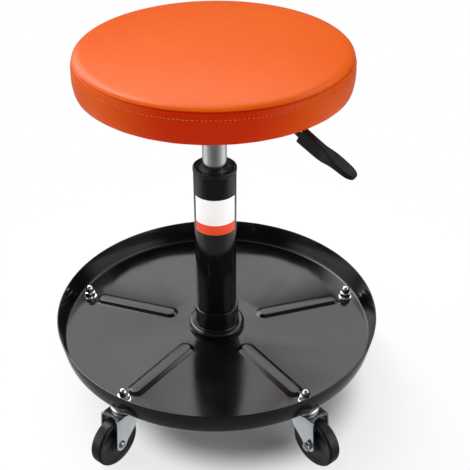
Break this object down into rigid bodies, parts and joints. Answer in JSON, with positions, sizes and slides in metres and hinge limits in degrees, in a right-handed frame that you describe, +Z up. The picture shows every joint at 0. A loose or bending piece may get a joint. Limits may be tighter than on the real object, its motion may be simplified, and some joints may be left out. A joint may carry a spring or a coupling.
{
  "type": "creeper seat",
  "caption": "Round padded workshop stool on a gas lift, with a lever, over a round steel tool tray on swivel casters.",
  "frame": {"origin": "on the column's axis, on the floor under the wheels", "axes": "+Z up along the column, -Y towards the front, +X to the right seen from the front"},
  "size_m": [0.4228, 0.4358, 0.4588],
  "materials": {
    "black_coating": "semi-gloss black powder coat",
    "zinc_plate": "bright zinc plate",
    "chrome_plate": "polished chrome plate",
    "plain_steel": "oiled steel",
    "oxide_steel": "black oxide",
    "bush_plastic": "dark grey moulded plastic",
    "lever_plastic": "black moulded plastic",
    "pale_plastic": "natural nylon",
    "wheel_rubber": "black hard rubber",
    "seal_rubber": "black rubber",
    "seat_vinyl": "finely grained orange vinyl",
    "seat_padding": "polyurethane foam",
    "plywood": "sanded plywood"
  },
  "bodies": {
    "base": {"tray": "black_coating", "column_socket": "black_coating", "socket_collar": "black_coating", "hub_plate": "black_coating", "column_tube": "black_coating", "guide_bush": "bush_plastic", "foot_disc": "plain_steel", "lower_race": "plain_steel", "caster_stems": "plain_steel", "caster_races": "chrome_plate", "ball_rings": "plain_steel", "stud_washers": "chrome_plate", "dome_nuts": "chrome_plate"},
    "spindle": {"piston_rod": "chrome_plate", "piston": "plain_steel", "upper_race": "plain_steel", "ball_cage": "pale_plastic", "bump_stop": "seal_rubber", "rod_clip": "plain_steel"},
    "seat": {"pressure_tube": "chrome_plate", "rod_guide": "pale_plastic", "rod_seal": "seal_rubber", "valve_body": "plain_steel", "cone_socket": "oxide_steel", "lift_bracket": "oxide_steel", "seat_plate": "oxide_steel", "seat_bolts": "zinc_plate", "tee_nuts": "zinc_plate", "seat_board": "plywood", "seat_foam": "seat_padding", "seat_cover": "seat_vinyl", "lever_pivot_pin": "plain_steel"},
    "lever": {"lever_rod": "oxide_steel", "lever_paddle": "lever_plastic"},
    "release": {"release_pin": "plain_steel"},
    "caster_1_swivel": {"caster_1_fork": "zinc_plate", "caster_1_axle": "zinc_plate", "caster_1_axle_nut": "zinc_plate", "caster_1_bush": "pale_plastic"},
    "caster_1_roller": {"caster_1_wheel": "wheel_rubber"},
    "caster_2_swivel": {"caster_2_fork": "zinc_plate", "caster_2_axle": "zinc_plate", "caster_2_axle_nut": "zinc_plate", "caster_2_bush": "pale_plastic"},
    "caster_2_roller": {"caster_2_wheel": "wheel_rubber"},
    "caster_3_swivel": {"caster_3_fork": "zinc_plate", "caster_3_axle": "zinc_plate", "caster_3_axle_nut": "zinc_plate", "caster_3_bush": "pale_plastic"},
    "caster_3_roller": {"caster_3_wheel": "wheel_rubber"},
    "caster_4_swivel": {"caster_4_fork": "zinc_plate", "caster_4_axle": "zinc_plate", "caster_4_axle_nut": "zinc_plate", "caster_4_bush": "pale_plastic"},
    "caster_4_roller": {"caster_4_wheel": "wheel_rubber"},
    "caster_5_swivel": {"caster_5_fork": "zinc_plate", "caster_5_axle": "zinc_plate", "caster_5_axle_nut": "zinc_plate", "caster_5_bush": "pale_plastic"},
    "caster_5_roller": {"caster_5_wheel": "wheel_rubber"}
  },
  "joints": [
    {"name": "seat_swivel", "type": "hinge", "parent": "base", "child": "spindle", "pos_m": [0, 0, 0.075], "axis": [0, 0, 1], "continuous": true},
    {"name": "seat_lift", "type": "slide", "parent": "spindle", "child": "seat", "axis": [0, 0, 1], "range_m": [-0.041, 0.071]},
    {"name": "lever_pivot", "type": "hinge", "parent": "seat", "child": "lever", "pos_m": [0.02191, -0.01743, 0.396], "axis": [-0.6225, -0.7826, 0], "range_deg": [0, 5], "stiffness_Nm_per_rad": 2, "springref_deg": -5.73},
    {"name": "valve_push", "type": "slide", "parent": "seat", "child": "release", "axis": [0, 0, -1], "range_m": [0, 0.0026]},
    {"name": "caster_1_turn", "type": "hinge", "parent": "base", "child": "caster_1_swivel", "pos_m": [0.17119, 0.05562, 0.07], "axis": [0, 0, 1], "continuous": true},
    {"name": "caster_1_spin", "type": "hinge", "parent": "caster_1_swivel", "child": "caster_1_roller", "pos_m": [0.18474, 0.07296, 0.03175], "axis": [-0.788, 0.6157, 0], "continuous": true},
    {"name": "caster_2_turn", "type": "hinge", "parent": "base", "child": "caster_2_swivel", "pos_m": [0, 0.18, 0.07], "axis": [0, 0, 1], "continuous": true},
    {"name": "caster_2_spin", "type": "hinge", "parent": "caster_2_swivel", "child": "caster_2_roller", "pos_m": [0, 0.202, 0.03175], "axis": [-1, 0, 0], "continuous": true},
    {"name": "caster_3_turn", "type": "hinge", "parent": "base", "child": "caster_3_swivel", "pos_m": [-0.17119, 0.05562, 0.07], "axis": [0, 0, 1], "continuous": true},
    {"name": "caster_3_spin", "type": "hinge", "parent": "caster_3_swivel", "child": "caster_3_roller", "pos_m": [-0.18702, 0.07091, 0.03175], "axis": [-0.6947, -0.7193, 0], "continuous": true},
    {"name": "caster_4_turn", "type": "hinge", "parent": "base", "child": "caster_4_swivel", "pos_m": [-0.1058, -0.14562, 0.07], "axis": [0, 0, 1], "continuous": true},
    {"name": "caster_4_spin", "type": "hinge", "parent": "caster_4_swivel", "child": "caster_4_roller", "pos_m": [-0.11935, -0.16296, 0.03175], "axis": [0.788, -0.6157, 0], "continuous": true},
    {"name": "caster_5_turn", "type": "hinge", "parent": "base", "child": "caster_5_swivel", "pos_m": [0.1058, -0.14562, 0.07], "axis": [0, 0, 1], "continuous": true},
    {"name": "caster_5_spin", "type": "hinge", "parent": "caster_5_swivel", "child": "caster_5_roller", "pos_m": [0.12038, -0.1621, 0.03175], "axis": [0.749, 0.6626, 0], "continuous": true}
  ],
  "couplings": [
    {"joint": "valve_push", "follows": "lever_pivot", "m_per_rad": 0.028}
  ]
}
